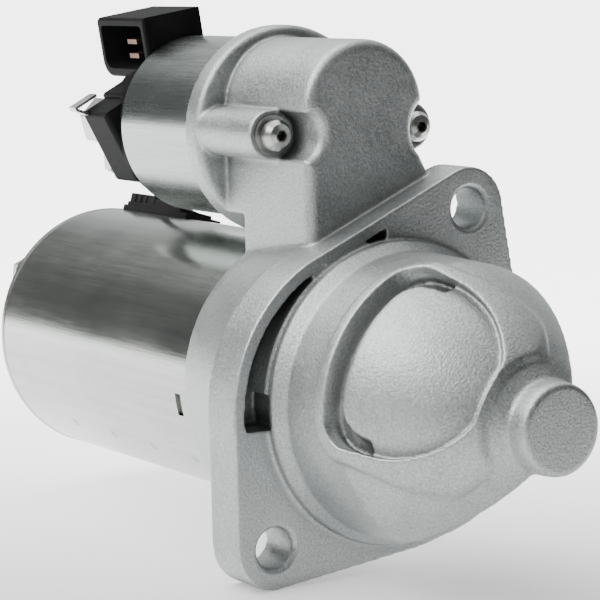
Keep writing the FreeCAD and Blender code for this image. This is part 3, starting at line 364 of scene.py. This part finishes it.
def add_world():
    """Studio room: white overhead, a dim band round the walls, brighter behind the object."""
    world = bpy.data.worlds.new("studio")
    bpy.context.scene.world = world
    world.use_nodes = True
    tree = world.node_tree
    tree.nodes.clear()
    out = tree.nodes.new("ShaderNodeOutputWorld")
    background = tree.nodes.new("ShaderNodeBackground")
    tree.links.new(background.outputs[0], out.inputs["Surface"])
    place = tree.nodes.new("ShaderNodeTexCoord")
    split = tree.nodes.new("ShaderNodeSeparateXYZ")
    tree.links.new(place.outputs["Generated"], split.inputs[0])
    ramp = tree.nodes.new("ShaderNodeValToRGB")
    ramp.color_ramp.interpolation = "EASE"
    stops = [(0.0, 0.90), (0.03, 0.13), (0.42, 0.15), (0.62, 0.55), (1.0, 0.95)]
    elements = ramp.color_ramp.elements
    while len(elements) < len(stops):
        elements.new(0.5)
    for element, (position, value) in zip(elements, stops):
        element.position = position
        element.color = (value, 1.02 * value, value, 1.0)
    tree.links.new(split.outputs["Z"], ramp.inputs["Fac"])
    dot = tree.nodes.new("ShaderNodeVectorMath")
    dot.operation = "DOT_PRODUCT"
    dot.inputs[1].default_value = (-0.55, 0.83, 0.0)
    tree.links.new(place.outputs["Generated"], dot.inputs[0])
    rear = tree.nodes.new("ShaderNodeMapRange")
    rear.inputs["From Min"].default_value = 0.55
    rear.inputs["From Max"].default_value = 0.85
    tree.links.new(dot.outputs["Value"], rear.inputs["Value"])
    mix = tree.nodes.new("ShaderNodeMix")
    mix.data_type = "RGBA"
    tree.links.new(rear.outputs["Result"], mix.inputs["Factor"])
    tree.links.new(ramp.outputs["Color"], mix.inputs["A"])
    mix.inputs["B"].default_value = (0.9, 0.92, 0.92, 1.0)
    front = tree.nodes.new("ShaderNodeMapRange")
    front.inputs["From Min"].default_value = 0.1
    front.inputs["From Max"].default_value = 0.8
    front.inputs["To Min"].default_value = 1.0
    front.inputs["To Max"].default_value = 0.35
    tree.links.new(split.outputs["X"], front.inputs["Value"])
    dim = tree.nodes.new("ShaderNodeVectorMath")
    dim.operation = "SCALE"
    tree.links.new(mix.outputs["Result"], dim.inputs[0])
    tree.links.new(front.outputs["Result"], dim.inputs["Scale"])
    tree.links.new(dim.outputs["Vector"], background.inputs["Color"])
    background.inputs["Strength"].default_value = 1.0


def add_studio(floor_z):
    mesh = bpy.data.meshes.new("floor")
    corners = [(-1, -1), (1, -1), (1, 1), (-1, 1)]
    mesh.from_pydata([(x * FLOOR_HALF, y * FLOOR_HALF, floor_z) for x, y in corners], [], [(0, 1, 2, 3)])
    floor = bpy.data.objects.new("floor", mesh)
    floor.data.materials.append(pale_floor())
    bpy.context.scene.collection.objects.link(floor)
    add_area("key_top", (-0.40, 0.00, 0.85), STUDIO_AIM, 1.0, 0.9, 4.5)
    add_area("fill_left", (-0.14, -0.78, 0.72), STUDIO_AIM, 0.6, 0.6, 8.5)
    add_sun((-0.55, -0.25, 1.0), 0.8, 40.0)
    add_flag(floor_z)
    add_world()


# ---------------------------------------------------------------- pieces

CAST_VOXEL = 0.0005
CAST_FACES = 180000
RELAX_ROUNDS = 6
SOFT_NOSE = (0.021, 14)     # everything in front of this x gets this many more rounds

def copy_piece(node, name):
    """A new object with a welded copy of a node's mesh."""
    source = nodes[node]
    mesh = source.data.copy()
    piece = bpy.data.objects.new(name, mesh)
    bpy.context.scene.collection.objects.link(piece)
    mesh.materials.clear()
    bm = bmesh.new()
    bm.from_mesh(mesh)
    bmesh.ops.remove_doubles(bm, verts=bm.verts, dist=1e-6)
    bm.to_mesh(mesh)
    bm.free()
    if mesh.has_custom_normals:
        bpy.context.view_layer.objects.active = piece
        with bpy.context.temp_override(object=piece, active_object=piece, selected_objects=[piece]):
            bpy.ops.mesh.customdata_custom_splitnormals_clear()
    return piece


def bake_modifiers(piece):
    """Replace a piece's mesh by its evaluated one and drop the modifiers."""
    graph = bpy.context.evaluated_depsgraph_get()
    done = bpy.data.meshes.new_from_object(piece.evaluated_get(graph))
    piece.modifiers.clear()
    old = piece.data
    piece.data = done
    bpy.data.meshes.remove(old)


def cast_from(node, name, voxel, rounds, soft, faces, material, body):
    """Rounded copy of a solid: remeshed, relaxed so that its corners get small radii, thinned out.

    soft is (x, rounds): further rounds of relaxing for everything in front of x."""
    piece = copy_piece(node, name)
    remesh = piece.modifiers.new("remesh", "REMESH")
    remesh.mode = "VOXEL"
    remesh.voxel_size = voxel
    relax = piece.modifiers.new("relax", "SMOOTH")
    relax.factor = 0.5
    relax.iterations = rounds
    bake_modifiers(piece)
    group = piece.vertex_groups.new(name="soft")
    front = [v.index for v in piece.data.vertices if v.co.x > soft[0]]
    group.add(front, 1.0, "REPLACE")
    melt = piece.modifiers.new("melt", "SMOOTH")
    melt.factor = 0.5
    melt.iterations = soft[1]
    melt.vertex_group = "soft"
    bake_modifiers(piece)
    piece.vertex_groups.clear()
    count = sum(len(p.vertices) - 2 for p in piece.data.polygons)
    if count > faces:
        thin = piece.modifiers.new("thin", "DECIMATE")
        thin.ratio = faces / count
        bake_modifiers(piece)
    for polygon in piece.data.polygons:
        polygon.use_smooth = True
    piece.data.materials.clear()
    piece.data.materials.append(material)
    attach(piece, body)
    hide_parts(node)
    return piece


def dress_nodes(finishes):
    """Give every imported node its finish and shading."""
    slots = {part["node"]: part["material_slot"] for part in frame["record"]["subparts"]}
    for name, obj in nodes.items():
        material = finishes[slots[name]]
        if not obj.data.materials:
            obj.data.materials.append(material)
        for index in range(len(obj.data.materials)):
            obj.data.materials[index] = material
    for index in range(len(nodes["signal_blades"].data.materials)):
        nodes["signal_blades"].data.materials[index] = finishes["dull_blades"]


add_camera()
finishes = make_finishes()
dress_nodes(finishes)
add_studio(cad_box[0].z)
voxel = CAST_VOXEL
cast_from("drive_end_housing", "casting", voxel, RELAX_ROUNDS, SOFT_NOSE, CAST_FACES,
          finishes["cast_alloy"], "housing")
